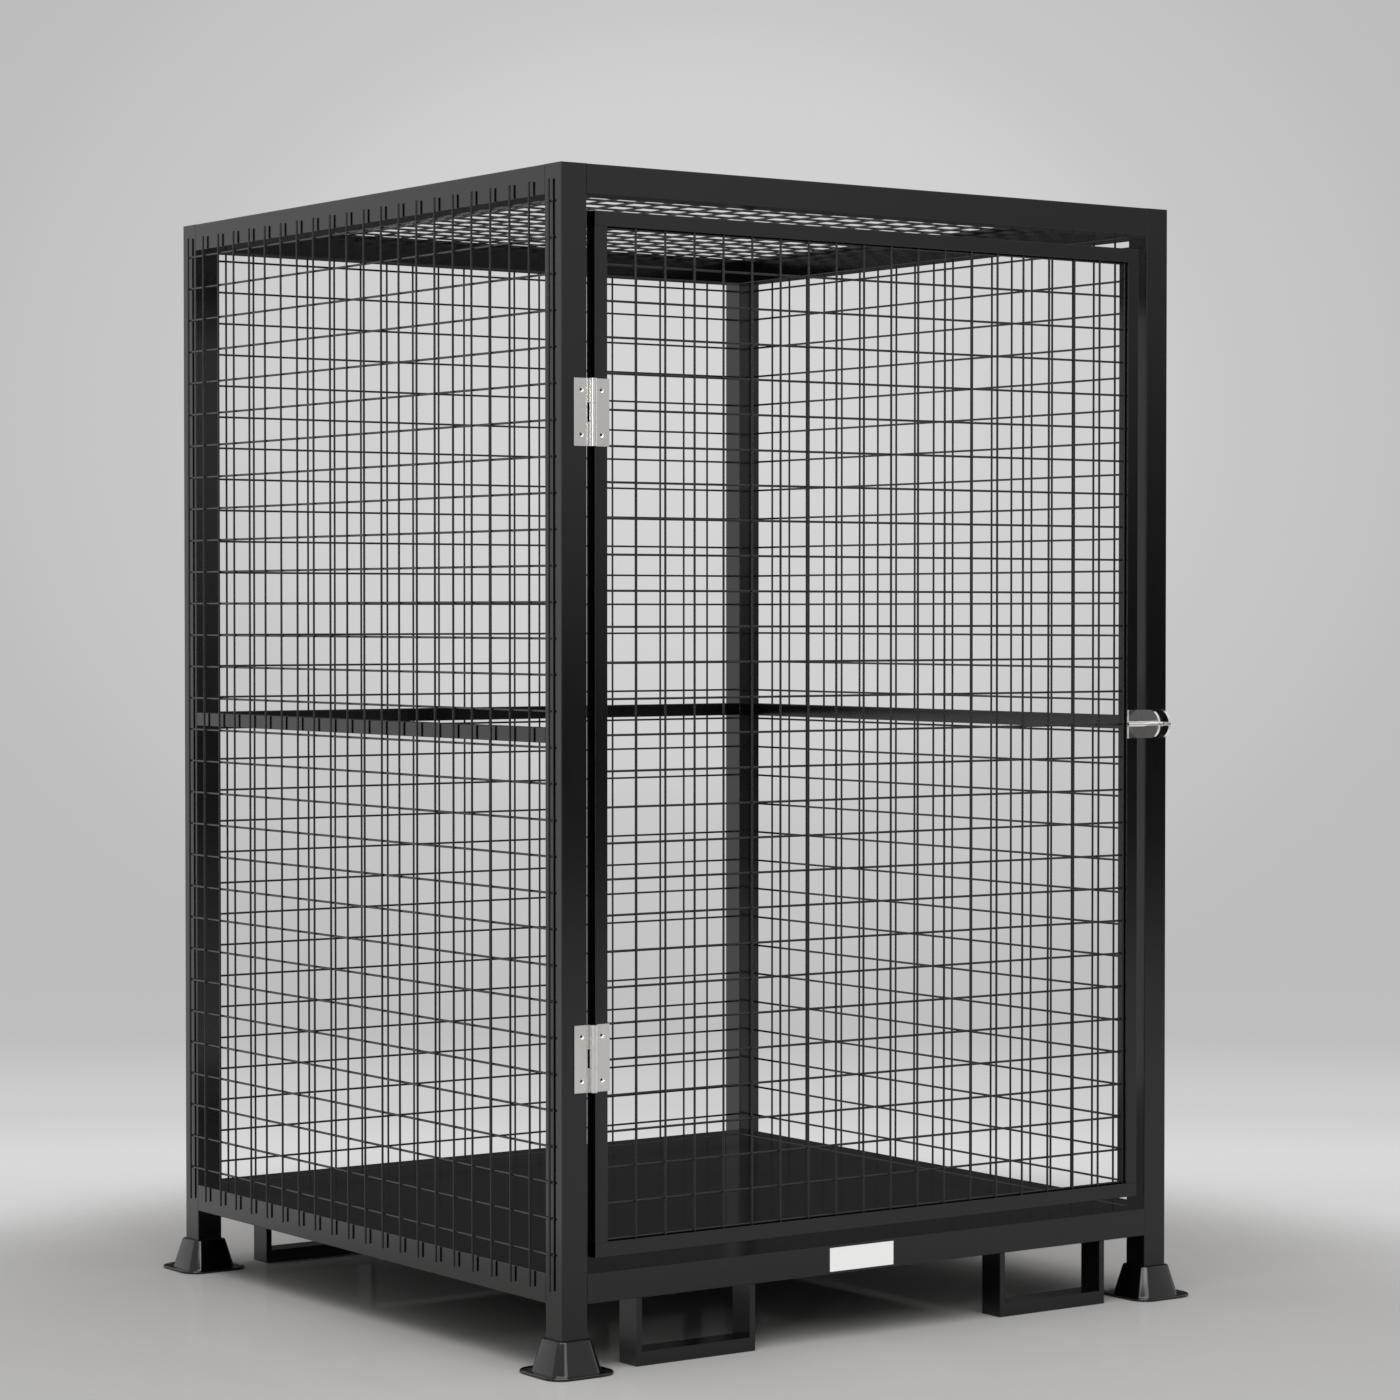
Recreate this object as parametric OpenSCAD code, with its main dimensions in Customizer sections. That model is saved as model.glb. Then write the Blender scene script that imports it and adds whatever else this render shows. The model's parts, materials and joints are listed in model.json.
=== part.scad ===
// A free-standing storage cage of square steel tube and welded wire mesh, with one
// hinged door at the front, feet, a solid floor and loops for a forklift's tines.
// X runs along the front to the right, Y from the front to the back, Z up. The origin
// is on the floor, under the middle of the overall box. All sizes are in millimetres.

/* [Overall size] */
// Width over the corner posts
cage_width = 1330; // [900:10:1600]
// Depth over the corner posts
cage_depth = 1320; // [900:10:1600]
// Height from the floor to the top of the posts
cage_height = 2000; // [1600:10:2300]

/* [Frame] */
// Side of the square tube of the posts and rails
tube_side = 50; // [40:1:60]
// Wall of that tube
tube_wall = 3; // [2:0.5:5]
// Outer corner radius of that tube
tube_corner = 1.5; // [1:0.5:6]
// Height of the underside of the bottom rails
bottom_rail_level = 115; // [100:1:150]
// Side of the square tube of the middle rails
mid_side = 25; // [20:1:40]
// Wall of the small tubes, in the middle rails and the door
small_wall = 2; // [1:0.5:3]
// Outer corner radius of the small tubes
small_corner = 1; // [0.5:0.5:4]
// Thickness of the floor plate
floor_thickness = 3; // [2:0.5:6]

/* [Feet] */
// Height of a foot, where the post goes in
foot_height = 57; // [45:1:70]
// Side of a foot's flange on the floor
foot_flange = 132; // [120:1:150]
// Thickness of that flange
flange_thickness = 5; // [3:0.5:10]
// Corner radius of that flange
flange_corner = 34; // [6:1:45]
// Side of the foot's tapered body where it meets the flange
foot_base = 97; // [85:1:110]
// Side of the foot's top, round the post
foot_top = 67; // [60:1:80]
// Width that is cut off each corner of the body where it meets the flange
base_chamfer = 15; // [4:1:20]
// Width that is cut off each corner of the foot's top
top_chamfer = 9; // [4:1:12]
// Thickness of the sole under the post
sole_thickness = 8; // [3:1:20]
// Clearance round the post in its foot
post_play = 0.3; // [0.1:0.1:1]

/* [Fork loops] */
// Distance from the cage's side to a loop's outer face
loop_inset = 148; // [110:1:220]
// Width of a loop over its legs
loop_width = 246; // [180:1:300]
// Thickness of a loop's legs
loop_leg = 11.5; // [6:0.5:20]
// Thickness of a loop's bottom bar
loop_bar = 24; // [10:1:40]

/* [Wire mesh] */
// Thickness of a wire
wire = 4; // [3:0.5:6]
// Spacing of the wires
mesh_pitch = 60; // [50:1:80]
// How deep the crossing wires are pressed into each other at their weld
weld_bite = 0.8; // [0.3:0.1:1.2]
// Overlap of an upright wire on the top rail
top_overlap = 25; // [10:1:30]
// Overlap of an upright wire on the bottom rail
bottom_overlap = 28; // [10:1:30]
// First cross wire above the lower end of the uprights
first_cross = 61; // [40:1:70]
// Least distance from the last upright to the cage's corner
upright_margin = 25; // [20:1:30]
// Length of a cross wire past the last upright
cross_overhang = 10; // [6:1:15]
// Least distance from the lengthwise roof wires to the side rails
roof_side_gap = 20; // [6:1:40]
// Least distance from the crosswise roof wires to the front and rear rails
roof_row_gap = 8; // [6:1:40]
// Distance from a crosswise roof wire's end to the cage's side
roof_end_inset = 22; // [10:1:30]

/* [Door] */
// Gap between the door and the hinge post
hinge_gap = 16; // [10:0.5:20]
// Gap between the door and the latch post
latch_gap = 20; // [10:0.5:30]
// Gap under the door
door_low_gap = 25; // [10:0.5:40]
// Gap over the door
door_high_gap = 26; // [10:0.5:40]
// Face width of the door's tubes
door_face = 25; // [20:1:40]
// Depth of the door's tubes
door_depth = 25; // [16:1:30]
// Distance from the door's front face to its wire mesh
door_mesh_inset = 6; // [2:0.5:8]

/* [Hinges] */
// Distance from the door's top or bottom to a hinge's middle
hinge_inset = 333; // [150:1:450]
// Height of a hinge
hinge_height = 112; // [80:1:150]
// Reach of a hinge's leaf from the pin's axis
leaf_reach = 35; // [30:0.5:45]
// Thickness of a leaf
leaf_thickness = 2.5; // [2:0.1:3]
// Distance from the post's edge to the pin's axis
axis_offset = 8; // [7:0.5:9]
// Radius of a knuckle
knuckle_radius = 7; // [6:0.25:8]
// Height of the middle knuckle, which is the door leaf's
middle_knuckle = 30; // [20:1:50]
// Gap between two knuckles
knuckle_gap = 0.6; // [0.3:0.1:1.5]
// Gap between a knuckle and the plate of the other leaf
notch_gap = 2; // [1:0.5:3]
// Radius of the hinge pin
hinge_pin_radius = 3.5; // [2:0.25:4]
// Radial play of the hinge pin
hinge_play = 0.05; // [0.03:0.01:0.1]
// Distance from the pin's axis to a screw hole
screw_reach = 20; // [16:0.5:24]
// Distance from a hinge's end to a screw hole
screw_inset = 19; // [10:0.5:30]
// Radius of a screw hole
screw_radius = 2.2; // [1.5:0.1:3]
// Radius of a screw hole's countersink at the leaf's face
countersink_radius = 4; // [3.5:0.1:5]

/* [Latch] */
// Height of an ear, which is also the width of its round end
ear_height = 52; // [40:1:70]
// Reach of an ear in front of the door's face
ear_reach = 45; // [42:1:70]
// Thickness of an ear
ear_thickness = 5; // [3:0.5:7]
// Reach of the hole's centre in front of the door's face
ear_hole_reach = 27; // [20:1:30]
// Distance from the latch post's inner face back to the door ear's outer face
door_ear_back = 4; // [2:0.5:10]
// Gap between the two ears
ear_gap = 20; // [12:1:28]
// Length of the post ear's base leg
post_leg = 28; // [20:1:30]
// Radius of the latch pin
latch_pin_radius = 4; // [3:0.5:6]
// Length of the latch pin
latch_pin_length = 80; // [60:1:120]
// Radial play of the latch pin in the ears
latch_play = 0.25; // [0.1:0.05:0.5]
// Gap between the drawn-back pin and the post's ear
drawn_back = 3; // [2:0.5:8]

/* [Plate] */
// Width of the plain plate on the front bottom rail
plate_width = 139; // [80:1:200]
// Height of that plate
plate_height = 41; // [20:1:42]
// Thickness of that plate
plate_thickness = 1; // [0.5:0.1:2]
// Distance from the cage's left side to that plate
plate_inset = 554; // [400:1:650]

/* [Hidden] */
$fn = 48;
eps = 0.01;
least_corner = 0.5;

half_width = cage_width / 2;
foot_over = (foot_flange - tube_side) / 2;
front = -(cage_depth + foot_over - max(ear_reach, foot_over)) / 2;
back = front + cage_depth;
middle = (front + back) / 2;
post_x = half_width - tube_side / 2;
post_front = front + tube_side / 2;
post_back = back - tube_side / 2;
clear_width = cage_width - 2 * tube_side;
clear_depth = cage_depth - 2 * tube_side;
top_rail_z = cage_height - tube_side / 2;
bottom_rail_z = bottom_rail_level + tube_side / 2;
floor_level = bottom_rail_level + tube_side;
mid_rail_z = (floor_level + cage_height - tube_side) / 2;

mesh_low = floor_level - bottom_overlap;
mesh_high = cage_height - tube_side + top_overlap;
cross_room = mesh_high - mesh_low - first_cross - cross_overhang;
cross_count = floor(cross_room / mesh_pitch) + 1;
cross_levels = [for (i = [0 : cross_count - 1]) mesh_low + first_cross + i * mesh_pitch];
lower_crosses = floor(cross_count / 2);
mesh_split = (cross_levels[lower_crosses - 1] + cross_levels[lower_crosses]) / 2;

door_left = -half_width + tube_side + hinge_gap;
door_right = half_width - tube_side - latch_gap;
door_bottom = floor_level + door_low_gap;
door_top = cage_height - tube_side - door_high_gap;
door_width = door_right - door_left;
door_centre = (door_left + door_right) / 2;
door_y = front + door_depth / 2;
opening_width = door_width - 2 * door_face;
opening_height = door_top - door_bottom - 2 * door_face;
door_columns = spaced(opening_width - wire);
door_rows = [for (z = spaced(opening_height - wire)) z + (door_top + door_bottom) / 2];
lower_rows = floor(len(door_rows) / 2);
door_split = (door_rows[lower_rows - 1] + door_rows[lower_rows]) / 2;

hinge_x = -half_width + tube_side + axis_offset;
hinge_y = front - knuckle_radius;
lower_hinge = door_bottom + hinge_inset;
upper_hinge = door_top - hinge_inset;

latch_inner_x = half_width - tube_side;
door_ear_x = latch_inner_x - door_ear_back - ear_thickness / 2;
post_ear_x = door_ear_x + ear_thickness + ear_gap;
door_leg = door_ear_x + ear_thickness / 2 - (door_right - door_face);
latch_y = front - ear_hole_reach;
latch_level = (door_bottom + door_top) / 2;
pin_tip_x = post_ear_x - ear_thickness / 2 - drawn_back;

black = [0.13, 0.13, 0.13];
wire_black = [0.10, 0.10, 0.10];
bright_zinc = [0.72, 0.72, 0.70];
plain_white = [0.92, 0.92, 0.90];

// Wire places spread over a length as near the mesh pitch as they fit
function spaced(length) =
    let (spaces = round(length / mesh_pitch))
    [for (i = [0 : spaces]) (i / spaces - 0.5) * length];

// Wire places at exactly the mesh pitch, centred on a side of the cage
function centred(side, margin) =
    let (spaces = floor((side - 2 * margin) / mesh_pitch))
    [for (i = [0 : spaces]) (i - spaces / 2) * mesh_pitch];

// The places in a list that lie between two limits
function between(places, low, high) = [for (p = places) if (p > low && p < high) p];

// Square or oblong outline with round corners
module section(width, height, corner) {
    square([width - 2 * corner, height], center = true);
    square([width, height - 2 * corner], center = true);
    for (x = [-1, 1], y = [-1, 1])
        translate([x * (width / 2 - corner), y * (height / 2 - corner)])
            circle(r = corner);
}

// Hollow tube along +X from the origin, width in Y and height in Z
module tube(length, width, height, wall, corner) {
    rotate([90, 0, 90])
        linear_extrude(length)
            difference() {
                section(width, height, corner);
                section(width - 2 * wall, height - 2 * wall, max(corner - wall, least_corner));
            }
}

// Post standing in its foot, closed at the top
module post(x, y) {
    color(black)
        translate([x, y, sole_thickness])
            difference() {
                linear_extrude(cage_height - sole_thickness)
                    section(tube_side, tube_side, tube_corner);
                translate([0, 0, -eps])
                    linear_extrude(cage_height - sole_thickness - tube_wall)
                        section(tube_side - 2 * tube_wall, tube_side - 2 * tube_wall,
                                max(tube_corner - tube_wall, least_corner));
            }
}

// Square with its corners cut off
module cut_square(side, chamfer) {
    flat = side / 2 - chamfer;
    polygon([for (turn = [0 : 3], end = [-1, 1])
        [cos(90 * turn) * side / 2 - sin(90 * turn) * end * flat,
         sin(90 * turn) * side / 2 + cos(90 * turn) * end * flat]]);
}

// Tapered foot with a flange on the floor and a socket for the post
module foot(x, y) {
    socket = tube_side + 2 * post_play;
    color(black)
        translate([x, y, 0])
            difference() {
                union() {
                    linear_extrude(flange_thickness)
                        section(foot_flange, foot_flange, flange_corner);
                    hull() {
                        translate([0, 0, flange_thickness - eps])
                            linear_extrude(eps) cut_square(foot_base, base_chamfer);
                        translate([0, 0, foot_height - eps])
                            linear_extrude(eps) cut_square(foot_top, top_chamfer);
                    }
                }
                translate([-socket / 2, -socket / 2, sole_thickness])
                    cube([socket, socket, foot_height]);
            }
}

// Rail between two posts along X, at the front or the back
module cross_rail(y, z) {
    color(black)
        translate([-clear_width / 2, y, z])
            tube(clear_width, tube_side, tube_side, tube_wall, tube_corner);
}

// Rail between two posts along Y, at the left or the right
module side_rail(x, z) {
    color(black)
        translate([x, post_front + tube_side / 2, z])
            rotate([0, 0, 90])
                tube(clear_depth, tube_side, tube_side, tube_wall, tube_corner);
}

// Thin rails at half height, flush with the outside of the back and both sides
module mid_rails() {
    color(black) {
        translate([-clear_width / 2, back - mid_side / 2, mid_rail_z])
            tube(clear_width, mid_side, mid_side, small_wall, small_corner);
        for (side = [-1, 1])
            translate([side * (half_width - mid_side / 2), front + tube_side, mid_rail_z])
                rotate([0, 0, 90])
                    tube(clear_depth, mid_side, mid_side, small_wall, small_corner);
    }
}

// Solid floor welded in between the bottom rails, its top level with theirs
module floor_plate() {
    color(black)
        translate([-clear_width / 2, post_front + tube_side / 2,
                   floor_level - tube_corner - floor_thickness])
            cube([clear_width, clear_depth, floor_thickness]);
}

// U-shaped loop under a bottom rail, for one tine of a forklift
module fork_loop(side, y) {
    x = side * (half_width - loop_inset - loop_width / 2);
    opening = loop_width - 2 * loop_leg;
    color(black)
        translate([x, y, 0])
            difference() {
                translate([-loop_width / 2, -tube_side / 2, 0])
                    cube([loop_width, tube_side, bottom_rail_level]);
                translate([-opening / 2, -tube_side, loop_bar])
                    cube([opening, 2 * tube_side, bottom_rail_level]);
            }
}

// Wire mesh standing in the XZ plane: cross wires against Y = 0, uprights in front
module wire_panel(uprights, levels, low, high, left, right) {
    color(wire_black) {
        rotate([90, 0, 0])
            linear_extrude(wire)
                for (z = levels)
                    translate([left, z - wire / 2])
                        square([right - left, wire]);
        translate([0, weld_bite - wire, 0])
            rotate([90, 0, 0])
                linear_extrude(wire)
                    for (x = uprights)
                        translate([x - wire / 2, low])
                            square([wire, high - low]);
    }
}

// Lower or upper half of the mesh on the outside of one face of the cage
module face_mesh(face_width, low, high) {
    uprights = centred(face_width, upright_margin);
    reach = uprights[len(uprights) - 1] + cross_overhang;
    wire_panel(uprights, between(cross_levels, low, high), low, high, -reach, reach);
}

module left_mesh(low, high) {
    translate([-half_width, middle, 0])
        rotate([0, 0, -90])
            face_mesh(cage_depth, low, high);
}

module right_mesh(low, high) {
    translate([half_width, middle, 0])
        rotate([0, 0, 90])
            face_mesh(cage_depth, low, high);
}

module rear_mesh(low, high) {
    translate([0, back, 0])
        rotate([0, 0, 180])
            face_mesh(cage_width, low, high);
}

// Front or rear half of the roof's mesh: its crosswise wires lie on the side rails, and the
// lengthwise ones hang under them between the front and rear rails
module roof_mesh(low, high) {
    reach = half_width - roof_end_inset;
    rows = between(centred(clear_depth, roof_row_gap), low, high);
    translate([0, middle, cage_height + wire])
        rotate([90, 0, 0])
            wire_panel(centred(clear_width, roof_side_gap), -rows, -high, -low, -reach, reach);
}

// Top or bottom tube of the door, over its full width
module door_rail(z) {
    color(black)
        translate([door_left, door_y, z])
            tube(door_width, door_depth, door_face, small_wall, small_corner);
}

// Upright tube of the door, between its top and bottom tubes
module door_stile(x) {
    color(black)
        translate([x, door_y, door_bottom + door_face])
            rotate([0, -90, 0])
                tube(opening_height, door_depth, door_face, small_wall, small_corner);
}

// Lower or upper half of the mesh that fills the door's frame
module door_mesh(low, high) {
    translate([door_centre, front + door_mesh_inset + 2 * wire - weld_bite, 0])
        wire_panel(door_columns, between(door_rows, low, high), low, high,
                   -opening_width / 2, opening_width / 2);
}

// One leaf of a hinge, on the side that side points to, with the knuckles that it carries
module hinge_leaf(side, level) {
    plate_start = knuckle_radius + notch_gap;
    leaf_front = knuckle_radius - leaf_thickness;
    half = hinge_height / 2;
    color(bright_zinc)
        translate([hinge_x, hinge_y, level])
            difference() {
                union() {
                    translate([side > 0 ? plate_start : -leaf_reach, leaf_front, -half])
                        cube([leaf_reach - plate_start, leaf_thickness, hinge_height]);
                    if (side > 0) {
                        knuckle(side, -middle_knuckle / 2, middle_knuckle / 2);
                    } else {
                        knuckle(side, -half, -middle_knuckle / 2 - knuckle_gap);
                        knuckle(side, middle_knuckle / 2 + knuckle_gap, half);
                    }
                }
                cylinder(r = hinge_pin_radius + hinge_play, h = 2 * hinge_height, center = true);
                for (z = [screw_inset - half, half - screw_inset])
                    translate([side * screw_reach, leaf_front, z])
                        rotate([-90, 0, 0])
                            screw_hole();
            }
}

// One knuckle round the pin's axis and the strip that joins it to its leaf
module knuckle(side, low, high) {
    strip = knuckle_radius + notch_gap + eps;
    translate([0, 0, low])
        cylinder(r = knuckle_radius, h = high - low);
    translate([side > 0 ? 0 : -strip, knuckle_radius - leaf_thickness, low])
        cube([strip, leaf_thickness, high - low]);
}

// Countersunk hole through a leaf, from its face at the origin along +Z
module screw_hole() {
    sink = countersink_radius - screw_radius;
    translate([0, 0, -eps])
        cylinder(r1 = countersink_radius, r2 = screw_radius, h = sink);
    cylinder(r = screw_radius, h = 2 * leaf_thickness);
}

// The two hinge pins, flush with the ends of the knuckles
module hinge_pins() {
    color(bright_zinc)
        for (level = [lower_hinge, upper_hinge])
            translate([hinge_x, hinge_y, level])
                cylinder(r = hinge_pin_radius, h = hinge_height, center = true);
}

// Ear that stands out in front, with a base leg to one side and a hole for the pin
module latch_ear(x, side, leg) {
    round_end = ear_height / 2;
    color(bright_zinc)
        translate([x, front, latch_level])
            difference() {
                union() {
                    rotate([90, 0, -90])
                        linear_extrude(ear_thickness, center = true) {
                            translate([0, -round_end])
                                square([ear_reach - round_end, ear_height]);
                            translate([ear_reach - round_end, 0])
                                circle(r = round_end);
                        }
                    translate([side > 0 ? -ear_thickness / 2 : ear_thickness / 2 - leg,
                               -ear_thickness, -round_end])
                        cube([leg, ear_thickness, ear_height]);
                }
                // The round end is cut back to the face that the ear stands on
                translate([-cage_width / 2, 0, -ear_height])
                    cube([cage_width, ear_height, 2 * ear_height]);
                translate([0, -ear_hole_reach, 0])
                    rotate([0, 90, 0])
                        cylinder(r = latch_pin_radius + latch_play, h = 2 * ear_thickness,
                                 center = true);
            }
}

// Pin of the latch, drawn back to the door's side of the gap
module latch_pin() {
    color(bright_zinc)
        translate([pin_tip_x - latch_pin_length, latch_y, latch_level])
            rotate([0, 90, 0])
                cylinder(r = latch_pin_radius, h = latch_pin_length);
}

// Plain plate on the face of the front bottom rail
module data_plate() {
    color(plain_white)
        translate([plate_inset - half_width, front - plate_thickness,
                   bottom_rail_z - plate_height / 2])
            cube([plate_width, plate_thickness, plate_height]);
}

post(-post_x, post_front);  // post_front_left
post(post_x, post_front);  // post_front_right
post(-post_x, post_back);  // post_rear_left
post(post_x, post_back);  // post_rear_right
foot(-post_x, post_front);  // foot_front_left
foot(post_x, post_front);  // foot_front_right
foot(-post_x, post_back);  // foot_rear_left
foot(post_x, post_back);  // foot_rear_right
cross_rail(post_front, top_rail_z);  // top_rail_front
cross_rail(post_back, top_rail_z);  // top_rail_rear
side_rail(-post_x, top_rail_z);  // top_rail_left
side_rail(post_x, top_rail_z);  // top_rail_right
cross_rail(post_front, bottom_rail_z);  // bottom_rail_front
cross_rail(post_back, bottom_rail_z);  // bottom_rail_rear
side_rail(-post_x, bottom_rail_z);  // bottom_rail_left
side_rail(post_x, bottom_rail_z);  // bottom_rail_right
mid_rails();
floor_plate();
fork_loop(-1, post_front);  // fork_loop_front_left
fork_loop(1, post_front);  // fork_loop_front_right
fork_loop(-1, post_back);  // fork_loop_rear_left
fork_loop(1, post_back);  // fork_loop_rear_right
left_mesh(mesh_low, mesh_split);  // mesh_left_lower
left_mesh(mesh_split, mesh_high);  // mesh_left_upper
right_mesh(mesh_low, mesh_split);  // mesh_right_lower
right_mesh(mesh_split, mesh_high);  // mesh_right_upper
rear_mesh(mesh_low, mesh_split);  // mesh_rear_lower
rear_mesh(mesh_split, mesh_high);  // mesh_rear_upper
roof_mesh(-clear_depth / 2, -mesh_pitch / 2);  // roof_mesh_front
roof_mesh(-mesh_pitch / 2, clear_depth / 2);  // roof_mesh_rear
door_rail(door_top - door_face / 2);  // door_top_rail
door_rail(door_bottom + door_face / 2);  // door_bottom_rail
door_stile(door_left + door_face / 2);  // door_hinge_stile
door_stile(door_right - door_face / 2);  // door_latch_stile
door_mesh(door_bottom + door_face, door_split);  // door_mesh_lower
door_mesh(door_split, door_top - door_face);  // door_mesh_upper
hinge_leaf(-1, upper_hinge);  // hinge_upper_post_leaf
hinge_leaf(-1, lower_hinge);  // hinge_lower_post_leaf
hinge_leaf(1, upper_hinge);  // hinge_upper_door_leaf
hinge_leaf(1, lower_hinge);  // hinge_lower_door_leaf
hinge_pins();
latch_ear(door_ear_x, -1, door_leg);  // latch_door_ear
latch_ear(post_ear_x, 1, post_leg);  // latch_post_ear
latch_pin();
data_plate();
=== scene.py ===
"""The looks of a gas cylinder cage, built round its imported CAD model.

The tubes, hinges and latch are the CAD solids with better materials and softened edges. The
wire mesh and the feet are made here and replace their CAD nodes. Lengths are in metres. As in
the CAD model, the door is at the front, towards -Y, and Z points up.
"""

import json
import math
from functools import partial

import bpy
from mathutils import Matrix, Vector

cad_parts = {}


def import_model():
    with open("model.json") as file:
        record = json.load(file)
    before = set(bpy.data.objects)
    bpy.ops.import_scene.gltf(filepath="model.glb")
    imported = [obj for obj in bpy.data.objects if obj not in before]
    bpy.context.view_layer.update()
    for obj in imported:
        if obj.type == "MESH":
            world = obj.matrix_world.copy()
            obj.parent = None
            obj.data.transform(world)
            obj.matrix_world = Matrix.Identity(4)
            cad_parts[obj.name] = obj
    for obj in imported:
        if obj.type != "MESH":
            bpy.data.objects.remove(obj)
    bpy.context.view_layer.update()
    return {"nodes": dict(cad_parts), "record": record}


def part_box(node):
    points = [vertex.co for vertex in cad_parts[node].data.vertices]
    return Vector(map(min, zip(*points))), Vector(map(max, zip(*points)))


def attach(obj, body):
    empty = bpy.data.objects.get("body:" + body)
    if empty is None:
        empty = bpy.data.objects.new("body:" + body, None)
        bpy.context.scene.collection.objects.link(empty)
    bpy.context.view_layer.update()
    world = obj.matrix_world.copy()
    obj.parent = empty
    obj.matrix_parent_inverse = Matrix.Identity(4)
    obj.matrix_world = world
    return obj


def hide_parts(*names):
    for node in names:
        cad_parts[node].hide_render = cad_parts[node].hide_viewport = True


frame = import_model()

MM = 0.001
X, Y, Z = Vector((1, 0, 0)), Vector((0, 1, 0)), Vector((0, 0, 1))

# Wire mesh
PITCH = 60 * MM
WIRE = 4 * MM
BITE = 0.8 * MM  # how deep crossing wires are pressed into each other
FACE_OVERHANG = 10 * MM  # the least that a wire runs on past the last one it crosses
ROOF_OVERHANG = 73 * MM  # the same for the roof's crosswise wires
FIRST_CROSS = 61 * MM  # from the lower ends of the uprights to the lowest cross wire
ROUNDING = 0.01  # share of a pitch by which a length may miss a whole number of them
WIRE_SIDES = 12
WIRE_TIP = 0.5 * MM
BEAD = Vector((2.5, 2.5, 1.3)) * MM  # half sizes of a weld bead
BEAD_SIDES = 8
BEAD_TURNS = (2.6, 2.09, 1.57, 1.05, 0.54)  # its rings, as angles from its pole

# Feet
FLANGE = 5 * MM
FLANGE_CORNER = 34 * MM
RIM_WIDTH = 4 * MM
RIM_HEIGHT = 1.4 * MM
FOOT_EDGE = 1.2 * MM
BODY_BASE = 97 * MM
BASE_CHAMFER = 15 * MM
BASE_ROUND = 15 * MM
BASE_FILLET = 1 * MM
BODY_TOP = 67 * MM
TOP_CHAMFER = 9 * MM
TOP_ROUND = 9 * MM
TOP_TAPER = 0.6 * MM  # how much wider the tapered body is just below its top edge
TOP_INSET = 1.4 * MM  # how much narrower it is above that edge
SOCKET = 50.6 * MM
SOCKET_DEPTH = 12 * MM
SOCKET_CORNER = 1 * MM
SOCKET_LEAD = 1 * MM
ARC_POINTS = 4  # on the round at one edge of a chamfer, and half of those on a plain corner

# Edges
SHARP_ANGLE = math.radians(35)
BEVEL_ANGLE = math.radians(40)
BEVEL_SEGMENTS = 2
BEVEL_WIDTHS = (
    (("post_", "top_rail", "bottom_rail", "fork_loop"), 1.0 * MM),
    (("door_",), 0.6 * MM),
    (("hinge_upper", "hinge_lower", "latch_"), 0.35 * MM),
)

# Finishes
PAINT_BLACK = (0.002, 0.002, 0.0021, 1)
WIRE_BLACK = (0.004, 0.004, 0.0041, 1)
COAT_IOR = 1.5
ZINC = (0.76, 0.745, 0.725, 1)
PLATE_WHITE = (0.9, 0.9, 0.89, 1)
PLATE_GLOW = 0.17
LATCH = ("latch_door_ear", "latch_post_ear", "latch_pin")

# Camera, fitted to the photo's wire lines and placed from the middle of the cage
CAMERA_BACK = 5997.3 * MM
CAMERA_LEFT = 4165.5 * MM
CAMERA_HEIGHT = 1260 * MM
CAMERA_YAW = 0.6161
CAMERA_TILT = -0.0224
CAMERA_LENS = 99.84  # in millimetres, as the sensor
SENSOR = 36.0

# Directions from the photo's camera: along its view and to its right
VIEW_AHEAD = (math.sin(CAMERA_YAW), math.cos(CAMERA_YAW), 0)
VIEW_RIGHT = (math.cos(CAMERA_YAW), -math.sin(CAMERA_YAW), 0)

# Backdrop that the camera sees: greys by how far up a ray points
WALL = ((-0.21, 0.49), (-0.178, 0.46), (-0.163, 0.53), (-0.149, 0.65), (-0.138, 0.69),
        (-0.124, 0.61), (-0.105, 0.515), (-0.09, 0.509))

# Glow on the backdrop: greys by the distance from its middle
GLOW = ((0, 0.165), (0.08, 0.125), (0.115, 0.055), (0.17, 0))
GLOW_HEIGHT = 0.05
GLOW_WIDTH = 1.25  # how many times as wide as tall it is

# Room that the gloss mirrors, in front of the cage: greys by how far up a ray points
FRONT_LEFT = ((-0.2, 0.62), (-0.1, 0.82), (-0.07, 0.25), (-0.05, 0.02), (-0.035, 0.02),
              (0.003, 0.35), (0.03, 0.65), (0.1, 0.7))
FRONT_RIGHT = ((-0.2, 0.6), (-0.1, 0.7), (-0.07, 0.2), (-0.05, 0.03), (-0.01, 0.03),
               (0.03, 0.15), (0.08, 0.42), (0.15, 0.7))
LEFT_TO_RIGHT = ((0.56, 0), (0.66, 1))  # share of the right, by how far a ray points along X

# Room that the gloss mirrors, behind the cage: greys by how straight ahead a ray points
BEHIND = ((-0.1, 0.95), (0.6, 0.95), (0.86, 0.05), (1.0, 0.04))
FRONT_TO_BEHIND = ((-0.1, 0), (0.1, 1))  # share of what is behind, by the same

# Light from the world: greys by how far up a ray points
OVERHEAD = ((0, 0.04), (0.25, 0.3), (1, 0.8))

# Floor, which fades into the backdrop between two distances from the middle
FLOOR_SIZE = 12
FLOOR_COLOUR = (0.47, 0.462, 0.449, 1)
FLOOR_SHEEN = (0.9, 0.9, 0.9, 1)
FLOOR_GLOSS = 0.16
FLOOR_ROUGHNESS = 0.04
FADE_START = 1.05
FADE_END = 1.8

# Lamps: name, place, target, size and power in watts
LAMPS = (
    ("top_soft", (-1.0, -1.2, 5.0), (0, 0, 0), (4.0, 4.0), 150),
    ("front_soft", (-0.6, -4.0, 4.0), (0, 0, 0.3), (3.0, 3.0), 65),
    ("side_strip", (-5.2, -4.4, 1.6), (0, 0, 1.2), (0.5, 2.6), 32),
)


# Node helpers

def feed(tree, socket, value):
    """Sets a socket to a value, or links another node's output to it."""
    if isinstance(value, bpy.types.NodeSocket):
        tree.links.new(value, socket)
    else:
        socket.default_value = value


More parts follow.
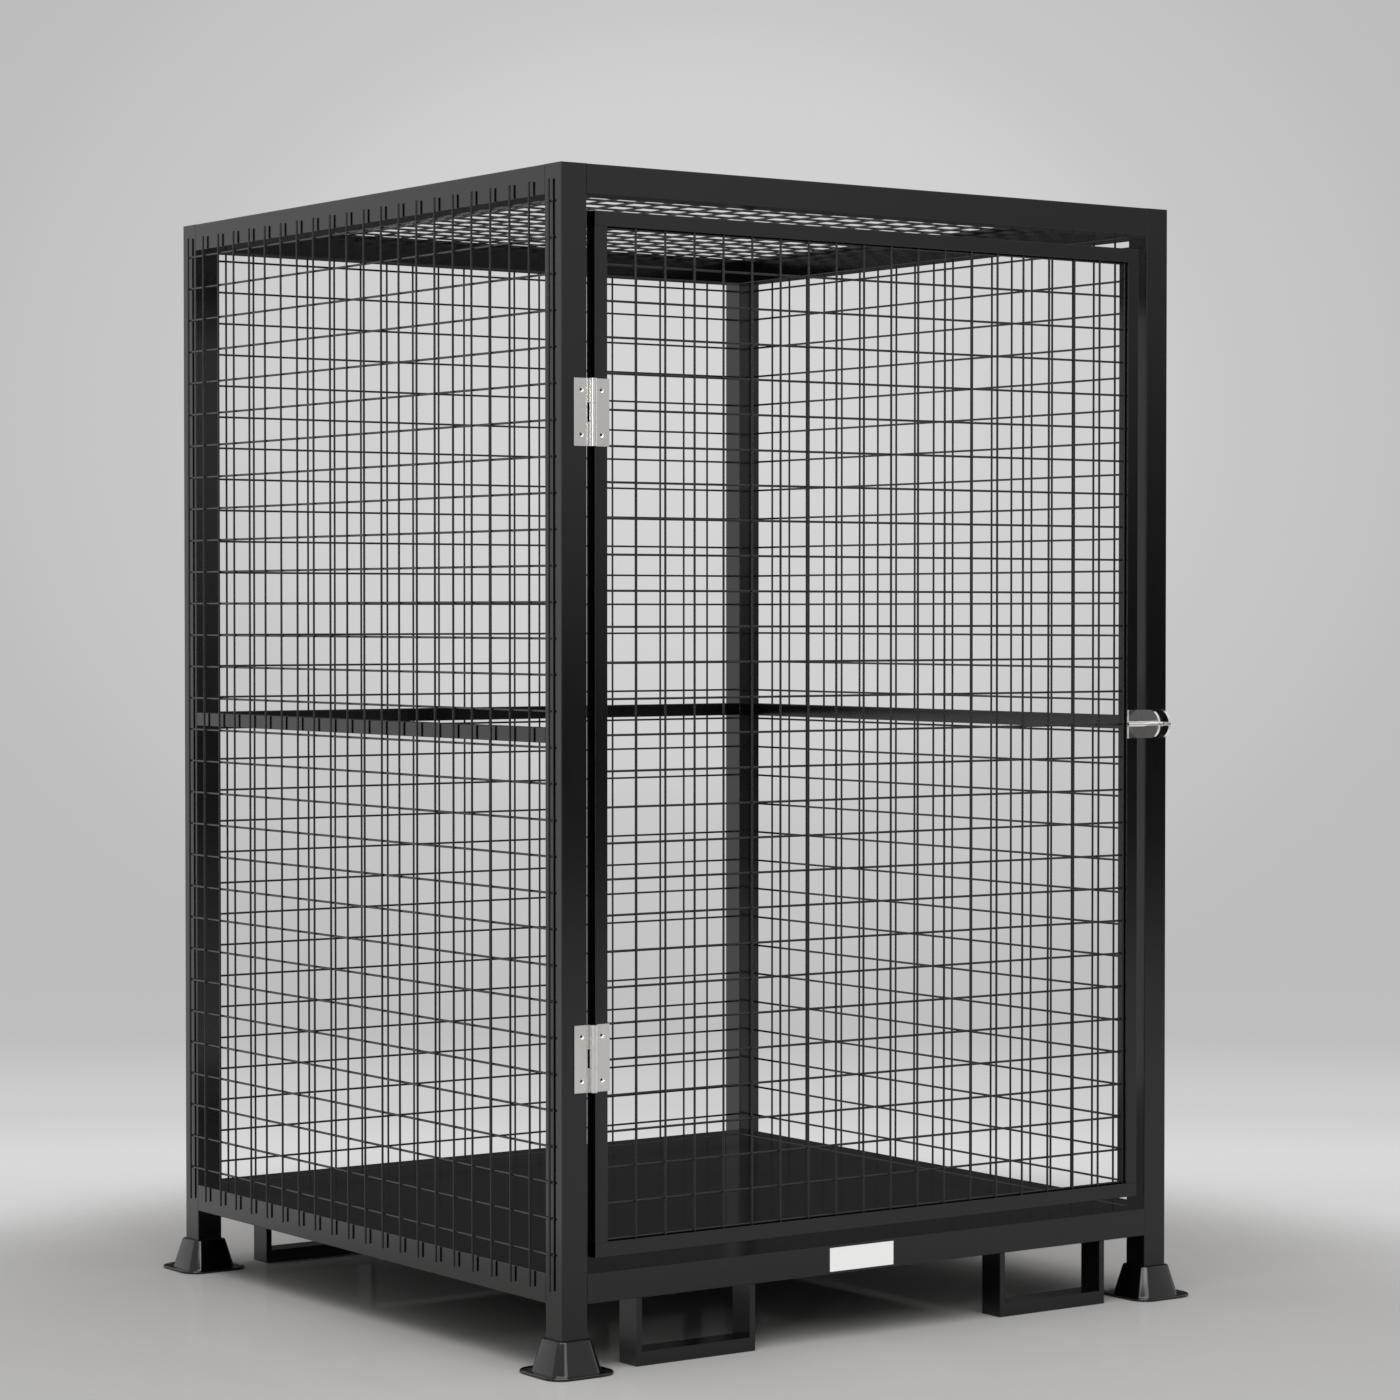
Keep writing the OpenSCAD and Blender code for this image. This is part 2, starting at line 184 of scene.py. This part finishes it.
def add(tree, kind, **values):
    """A node with its inputs fed by name."""
    node = tree.nodes.new(kind)
    for name, value in values.items():
        feed(tree, node.inputs[name.replace("_", " ")], value)
    return node


def compute(tree, kind, operation, *values):
    """The result of one operation of a maths node, as an output."""
    node = tree.nodes.new(kind)
    node.operation = operation
    for socket, value in zip(node.inputs, values):
        feed(tree, socket, value)
    return node.outputs["Value"]


def maths(tree, operation, *numbers):
    """The result of an operation on numbers."""
    return compute(tree, "ShaderNodeMath", operation, *numbers)


def dot(tree, direction, axis):
    """How far a direction points along an axis."""
    return compute(tree, "ShaderNodeVectorMath", "DOT_PRODUCT", direction, axis)


def distance(tree, place):
    """How far a place is from the origin."""
    return compute(tree, "ShaderNodeVectorMath", "LENGTH", place)


def blend(tree, fac, first, second):
    """A grey between two others."""
    gap = maths(tree, "SUBTRACT", second, first)
    return maths(tree, "ADD", maths(tree, "MULTIPLY", gap, fac), first)


def graded(tree, value, stops):
    """A smooth grey over (value, grey) stops."""
    low, high = stops[0][0], stops[-1][0]
    share = add(tree, "ShaderNodeMapRange", Value=value, From_Min=low, From_Max=high)
    ramp = add(tree, "ShaderNodeValToRGB", Fac=share.outputs["Result"])
    ramp.color_ramp.interpolation = "EASE"
    elements = ramp.color_ramp.elements
    while len(elements) < len(stops):
        elements.new(0.5)
    for element, (place, grey) in zip(elements, stops):
        element.position = (place - low) / (high - low)
        element.color = (grey, grey, grey, 1)
    return ramp.outputs["Color"]


def noise(tree, scale, stretch=(1, 1, 1)):
    """Noise in the object's own space, stretched along its axes."""
    place = tree.nodes.new("ShaderNodeTexCoord").outputs["Object"]
    mapping = add(tree, "ShaderNodeMapping", Vector=place, Scale=stretch)
    texture = add(tree, "ShaderNodeTexNoise", Vector=mapping.outputs["Vector"], Scale=scale)
    return texture.outputs["Fac"]


def mix_shaders(tree, fac, first, second):
    """A mix of two shaders, from all of the first at 0 to all of the second at 1."""
    node = tree.nodes.new("ShaderNodeMixShader")
    for socket, value in zip(node.inputs, (fac, first, second)):
        feed(tree, socket, value)
    return node.outputs["Shader"]


# Materials

def new_material(name, colour):
    """A material of one colour, with its node tree and its Principled shader."""
    material = bpy.data.materials.new(name)
    material.use_nodes = True
    shader = material.node_tree.nodes["Principled BSDF"]
    shader.inputs["Base Color"].default_value = colour
    return material, material.node_tree, shader


def vary_roughness(tree, shader, fac, low, high):
    """Lets the roughness follow a noise, between two values."""
    roughness = add(tree, "ShaderNodeMapRange", Value=fac, To_Min=low, To_Max=high)
    tree.links.new(roughness.outputs["Result"], shader.inputs["Roughness"])


def add_bump(tree, shader, height, strength, depth):
    """Makes the surface uneven after a noise."""
    bump = add(tree, "ShaderNodeBump", Height=height, Strength=strength, Distance=depth)
    tree.links.new(bump.outputs["Normal"], shader.inputs["Normal"])


def black_paint():
    """Gloss black powder coat on the tubes, the floor plate and the feet."""
    material, tree, shader = new_material("black_paint", PAINT_BLACK)
    shader.inputs["IOR"].default_value = COAT_IOR
    vary_roughness(tree, shader, noise(tree, scale=9.0), low=0.10, high=0.16)
    add_bump(tree, shader, noise(tree, scale=420.0), strength=0.05, depth=0.2 * MM)
    return material


def black_wire():
    """Gloss black powder coat on the wires."""
    material, tree, shader = new_material("black_wire", WIRE_BLACK)
    shader.inputs["IOR"].default_value = COAT_IOR
    vary_roughness(tree, shader, noise(tree, scale=12.0), low=0.18, high=0.26)
    return material


def zinc_steel(name, low, high):
    """Zinc plating with a fine upright grain, between two roughnesses."""
    material, tree, shader = new_material(name, ZINC)
    shader.inputs["Metallic"].default_value = 1.0
    vary_roughness(tree, shader, noise(tree, scale=60.0, stretch=(1, 1, 0.08)), low, high)
    grain = noise(tree, scale=900.0, stretch=(1, 1, 0.1))
    add_bump(tree, shader, grain, strength=0.04, depth=0.1 * MM)
    return material


def white_plate():
    """Plain white semi-gloss plate, with a little light of its own to reach white."""
    material, tree, shader = new_material("white_plate", PLATE_WHITE)
    shader.inputs["Emission Color"].default_value = (1, 1, 1, 1)
    shader.inputs["Emission Strength"].default_value = PLATE_GLOW
    vary_roughness(tree, shader, noise(tree, scale=30.0), low=0.35, high=0.42)
    return material


# CAD nodes

def finish_nodes(materials, latch_zinc):
    """Gives every CAD node the material of its slot in the record, and the latch its own."""
    for part in frame["record"]["subparts"]:
        name = part["node"]
        material = latch_zinc if name in LATCH else materials[part["material_slot"]]
        mesh = frame["nodes"][name].data
        mesh.materials.clear()
        mesh.materials.append(material)


def soften_nodes():
    """Rounds the sharp edges of the tubes, hinges and latch with bevel modifiers.

    The width isn't clamped, as the tubes' corner arcs have short edges that would cut it down.
    """
    for prefixes, width in BEVEL_WIDTHS:
        for name, node in frame["nodes"].items():
            if not name.startswith(prefixes) or "mesh" in name:
                continue
            bevel = node.modifiers.new("soft_edges", "BEVEL")
            bevel.width = width
            bevel.segments = BEVEL_SEGMENTS
            bevel.limit_method = "ANGLE"
            bevel.angle_limit = BEVEL_ANGLE
            bevel.use_clamp_overlap = False


# Shapes, as (points, faces)

def make_piece(name, shape, material):
    """A smooth object of one shape, with sharp edges where its faces turn far."""
    points, faces = shape
    mesh = bpy.data.meshes.new(name)
    mesh.from_pydata(points, [], faces)
    mesh.validate()
    mesh.update()
    mesh.shade_smooth()
    mesh.set_sharp_from_angle(angle=SHARP_ANGLE)
    mesh.materials.append(material)
    piece = bpy.data.objects.new(name, mesh)
    bpy.context.scene.collection.objects.link(piece)
    return piece


def skin(rings):
    """A closed shape over rings of points, with a face at either end."""
    count = len(rings[0])
    last = (len(rings) - 1) * count
    faces = [tuple(reversed(range(count)))]
    for base in range(0, last, count):
        for i in range(count):
            j = (i + 1) % count
            faces.append((base + i, base + j, base + count + j, base + count + i))
    faces.append(tuple(range(last, last + count)))
    return [point for ring in rings for point in ring], faces


def lathe(start, end, profile, sides):
    """A closed round bar from a profile of (distance from start, radius)."""
    axis = (end - start).normalized()
    side = axis.orthogonal().normalized()
    other = axis.cross(side)
    turns = [math.tau * i / sides for i in range(sides)]
    spokes = [side * math.cos(turn) + other * math.sin(turn) for turn in turns]
    return skin([[start + axis * along + spoke * radius for spoke in spokes]
                 for along, radius in profile])


def join(shapes):
    """Several shapes as one."""
    points, faces = [], []
    for shape_points, shape_faces in shapes:
        base = len(points)
        points.extend(shape_points)
        faces.extend(tuple(base + i for i in face) for face in shape_faces)
    return points, faces


# Wire mesh

def pitched(overhang, low, high):
    """Wire places at the mesh pitch, centred between two ends."""
    spaces = math.floor((high - low - 2 * overhang) / PITCH + ROUNDING)
    return [(low + high) / 2 + (i - spaces / 2) * PITCH for i in range(spaces + 1)]


def stacked(low, high):
    """Cross wire levels from the lower ends of the uprights."""
    spaces = math.floor((high - low - FIRST_CROSS - FACE_OVERHANG) / PITCH + ROUNDING)
    return [low + FIRST_CROSS + i * PITCH for i in range(spaces + 1)]


def fitted(low, high):
    """Wire places from edge to edge, as near the mesh pitch as they fit."""
    length = high - low - WIRE
    spaces = round(length / PITCH)
    return [low + WIRE / 2 + length * i / spaces for i in range(spaces + 1)]


def joint_box(nodes):
    """The lowest and highest corners of several CAD nodes together."""
    boxes = [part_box(name) for name in nodes]
    low = Vector(min(box[0][i] for box in boxes) for i in range(3))
    high = Vector(max(box[1][i] for box in boxes) for i in range(3))
    return low, high


def wire(start, end):
    """One round wire with slightly rounded ends."""
    length = (end - start).length
    radius = WIRE / 2
    profile = [(0, radius - WIRE_TIP), (WIRE_TIP, radius),
               (length - WIRE_TIP, radius), (length, radius - WIRE_TIP)]
    return lathe(start, end, profile, WIRE_SIDES)


def layer(level, way, low, high, step, places):
    """Wires that run one way between two ends, side by side at places along another axis."""
    for place in places:
        start = level + way * low + step * place
        yield wire(start, start + way * (high - low))


def beads(level, axes, columns, rows):
    """Flat weld beads where the wires cross."""
    across, along, outward = axes
    profile = [(math.cos(turn), math.sin(turn)) for turn in BEAD_TURNS]
    ball, faces = lathe(Vector((0, 0, 0)), Z, profile, BEAD_SIDES)
    bead = [across * (p.x * BEAD.x) + along * (p.y * BEAD.y) + outward * (p.z * BEAD.z)
            for p in ball]
    for column in columns:
        for row in rows:
            centre = level + across * column + along * row
            yield [centre + p for p in bead], faces


def panel(name, nodes, body, axes, columns_of, rows_of, material):
    """A welded panel in place of its CAD nodes.

    The axes are those of the cross wires, of the uprights and of the outside. The cross wires
    lie inside and the uprights outside. columns_of places the uprights and rows_of the cross
    wires, both between the ends of the nodes.
    """
    across, along, outward = axes
    low, high = joint_box(nodes)
    inner = low if sum(outward) > 0 else high
    cross_level = outward * (inner.dot(outward) + WIRE / 2)
    upright_level = cross_level + outward * (WIRE - BITE)
    left, right = low.dot(across), high.dot(across)
    bottom, top = low.dot(along), high.dot(along)
    columns, rows = columns_of(left, right), rows_of(bottom, top)
    shape = join([
        *layer(cross_level, across, left, right, along, rows),
        *layer(upright_level, along, bottom, top, across, columns),
        *beads((cross_level + upright_level) / 2, axes, columns, rows),
    ])
    piece = make_piece(name, shape, material)
    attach(piece, body)
    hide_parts(*nodes)


def mesh_panels(material):
    """The panels of the two sides, the rear, the roof and the door.

    The roof's outside is taken as below, because its lengthwise wires hang under the others.
    """
    face, roof = partial(pitched, FACE_OVERHANG), partial(pitched, ROOF_OVERHANG)
    for side, across, outward in (("left", Y, -X), ("right", Y, X), ("rear", X, Y)):
        nodes = [f"mesh_{side}_lower", f"mesh_{side}_upper"]
        panel(f"welded_mesh_{side}", nodes, "cage", (across, Z, outward), face, stacked,
              material)
    panel("welded_mesh_roof", ["roof_mesh_front", "roof_mesh_rear"], "cage", (X, Y, -Z),
          roof, face, material)
    panel("welded_mesh_door", ["door_mesh_lower", "door_mesh_upper"], "door", (X, Z, -Y),
          fitted, fitted, material)


# Feet

def corner_point(half, corner, chamfer, i):
    """Point i of the corner in +X +Y, counted from the +X side."""
    if chamfer == 0:
        angle = math.pi / 2 * i / (2 * ARC_POINTS - 1)
        centre = Vector((half - corner, half - corner))
    else:
        second, j = divmod(i, ARC_POINTS)
        angle = (second + j / (ARC_POINTS - 1)) * math.pi / 4
        far, near = half - corner, half - chamfer - corner * math.tan(math.pi / 8)
        centre = Vector((near, far) if second else (far, near))
    return centre + corner * Vector((math.cos(angle), math.sin(angle)))


def outline(height, side, corner, chamfer=0):
    """A square ring of points, with each corner one arc of the corner radius.

    With a chamfer, the arc is split into a small round at either edge of the chamfer.
    """
    ring = []
    for quarter in range(4):
        turn = Matrix.Rotation(quarter * math.pi / 2, 2)
        for i in range(2 * ARC_POINTS):
            point = turn @ corner_point(side / 2, corner, chamfer, i)
            ring.append(Vector((point.x, point.y, height)))
    return ring


def foot_rings(side, top):
    """A foot's rings, from the underside over the raised rim and the body into the socket."""
    edge, rim = FOOT_EDGE, RIM_WIDTH
    sunk = FLANGE - RIM_HEIGHT
    return [
        outline(0, side - 2 * edge, FLANGE_CORNER - edge),
        outline(edge, side, FLANGE_CORNER),
        outline(FLANGE - edge, side, FLANGE_CORNER),
        outline(FLANGE, side - 2 * edge, FLANGE_CORNER - edge),
        outline(FLANGE, side - 2 * rim + 2 * edge, FLANGE_CORNER - rim),
        outline(sunk, side - 2 * rim, FLANGE_CORNER - rim),
        outline(sunk, BODY_BASE + 2 * BASE_FILLET, BASE_ROUND, BASE_CHAMFER),
        outline(FLANGE + BASE_FILLET, BODY_BASE - BASE_FILLET, BASE_ROUND - BASE_FILLET,
                BASE_CHAMFER),
        outline(top - edge, BODY_TOP + TOP_TAPER, TOP_ROUND, TOP_CHAMFER),
        outline(top, BODY_TOP - TOP_INSET, TOP_ROUND, TOP_CHAMFER),
        outline(top, SOCKET + SOCKET_LEAD, SOCKET_CORNER + SOCKET_LEAD / 2),
        outline(top - SOCKET_LEAD, SOCKET, SOCKET_CORNER),
        outline(top - SOCKET_DEPTH, SOCKET, SOCKET_CORNER),
    ]


def foot(name, node, material):
    """A tapered foot on a flange, in place of its CAD node."""
    low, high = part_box(node)
    centre = Vector(((low.x + high.x) / 2, (low.y + high.y) / 2, 0))
    rings = foot_rings(high.x - low.x, high.z)
    shape = skin([[centre + point for point in ring] for ring in rings])
    piece = make_piece(name, shape, material)
    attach(piece, "cage")
    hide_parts(node)


def feet(material):
    """One foot under each post."""
    for corner in ("front_left", "front_right", "rear_left", "rear_right"):
        foot(f"cast_foot_{corner}", f"foot_{corner}", material)


# Stage

def backdrop(tree, direction):
    """What the camera sees behind the cage: grey, a soft glow and a light band low down."""
    height = dot(tree, direction, Z)
    side = maths(tree, "DIVIDE", dot(tree, direction, VIEW_RIGHT), GLOW_WIDTH)
    above = maths(tree, "SUBTRACT", height, GLOW_HEIGHT)
    side_square = maths(tree, "MULTIPLY", side, side)
    above_square = maths(tree, "MULTIPLY", above, above)
    reach = maths(tree, "SQRT", maths(tree, "ADD", side_square, above_square))
    return maths(tree, "ADD", graded(tree, height, WALL), graded(tree, reach, GLOW))


def surroundings(tree, direction):
    """What the gloss mirrors: a bright room, dark straight ahead and in a low band in front.

    The band reaches higher towards the right.
    """
    height = dot(tree, direction, Z)
    ahead = dot(tree, direction, VIEW_AHEAD)
    rightness = graded(tree, dot(tree, direction, X), LEFT_TO_RIGHT)
    front = blend(tree, rightness, graded(tree, height, FRONT_LEFT),
                  graded(tree, height, FRONT_RIGHT))
    return blend(tree, graded(tree, ahead, FRONT_TO_BEHIND), front,
                 graded(tree, ahead, BEHIND))


def world():
    """Backdrop for the camera, surroundings for the gloss, and overhead light for the rest."""
    scene_world = bpy.data.worlds.new("studio")
    bpy.context.scene.world = scene_world
    scene_world.use_nodes = True
    tree = scene_world.node_tree
    background = tree.nodes["Background"]
    direction = tree.nodes.new("ShaderNodeTexCoord").outputs["Generated"]
    path = tree.nodes.new("ShaderNodeLightPath")
    overhead = graded(tree, dot(tree, direction, Z), OVERHEAD)
    unseen = blend(tree, path.outputs["Is Glossy Ray"], overhead, surroundings(tree, direction))
    seen = blend(tree, path.outputs["Is Camera Ray"], unseen, backdrop(tree, direction))
    tree.links.new(seen, background.inputs["Color"])
    background.inputs["Strength"].default_value = 1.0


def floor_material():
    """Pale gloss paint that turns clear away from the cage, where the backdrop takes over."""
    material = bpy.data.materials.new("studio_floor")
    material.use_nodes = True
    tree = material.node_tree
    tree.nodes.remove(tree.nodes["Principled BSDF"])
    diffuse = add(tree, "ShaderNodeBsdfDiffuse", Color=FLOOR_COLOUR)
    glossy = add(tree, "ShaderNodeBsdfGlossy", Color=FLOOR_SHEEN, Roughness=FLOOR_ROUGHNESS)
    clear = tree.nodes.new("ShaderNodeBsdfTransparent")
    reach = distance(tree, tree.nodes.new("ShaderNodeTexCoord").outputs["Object"])
    fade = add(tree, "ShaderNodeMapRange", Value=reach, From_Min=FADE_START, From_Max=FADE_END)
    fade.interpolation_type = "SMOOTHSTEP"
    paint = mix_shaders(tree, FLOOR_GLOSS, diffuse.outputs["BSDF"], glossy.outputs["BSDF"])
    surface = mix_shaders(tree, fade.outputs["Result"], paint, clear.outputs["BSDF"])
    tree.links.new(surface, tree.nodes["Material Output"].inputs["Surface"])
    return material


def floor():
    """The floor that the cage stands on and casts its shadow on."""
    bpy.ops.mesh.primitive_plane_add(size=FLOOR_SIZE)
    plane = bpy.context.object
    plane.name = "studio_floor"
    plane.data.materials.append(floor_material())


def lamps():
    """Soft area lamps, each turned to its target."""
    for name, place, target, size, power in LAMPS:
        light = bpy.data.lights.new(name, "AREA")
        light.shape = "RECTANGLE"
        light.size, light.size_y = size
        light.energy = power
        lamp = bpy.data.objects.new(name, light)
        lamp.location = place
        lamp.rotation_mode = "QUATERNION"
        lamp.rotation_quaternion = (Vector(target) - Vector(place)).to_track_quat("-Z", "Y")
        bpy.context.scene.collection.objects.link(lamp)


def camera():
    """The photo's camera."""
    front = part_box("post_front_left")[0].y
    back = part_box("post_rear_left")[1].y
    data = bpy.data.cameras.new("photo_camera")
    data.lens = CAMERA_LENS
    data.sensor_width = SENSOR
    view = bpy.data.objects.new("photo_camera", data)
    view.location = (-CAMERA_LEFT, (front + back) / 2 - CAMERA_BACK, CAMERA_HEIGHT)
    view.rotation_euler = (math.pi / 2 + CAMERA_TILT, 0, -CAMERA_YAW)
    bpy.context.scene.collection.objects.link(view)
    bpy.context.scene.camera = view


tube_paint, wire_paint = black_paint(), black_wire()
satin_zinc = zinc_steel("zinc_satin", low=0.15, high=0.24)
bright_zinc = zinc_steel("zinc_bright", low=0.07, high=0.12)
finish_nodes({"black_paint": tube_paint, "black_wire": wire_paint, "zinc_steel": satin_zinc,
              "white_plate": white_plate()}, bright_zinc)
soften_nodes()
mesh_panels(wire_paint)
feet(tube_paint)

world()
floor()
lamps()
camera()
bpy.context.scene.view_settings.view_transform = "Standard"
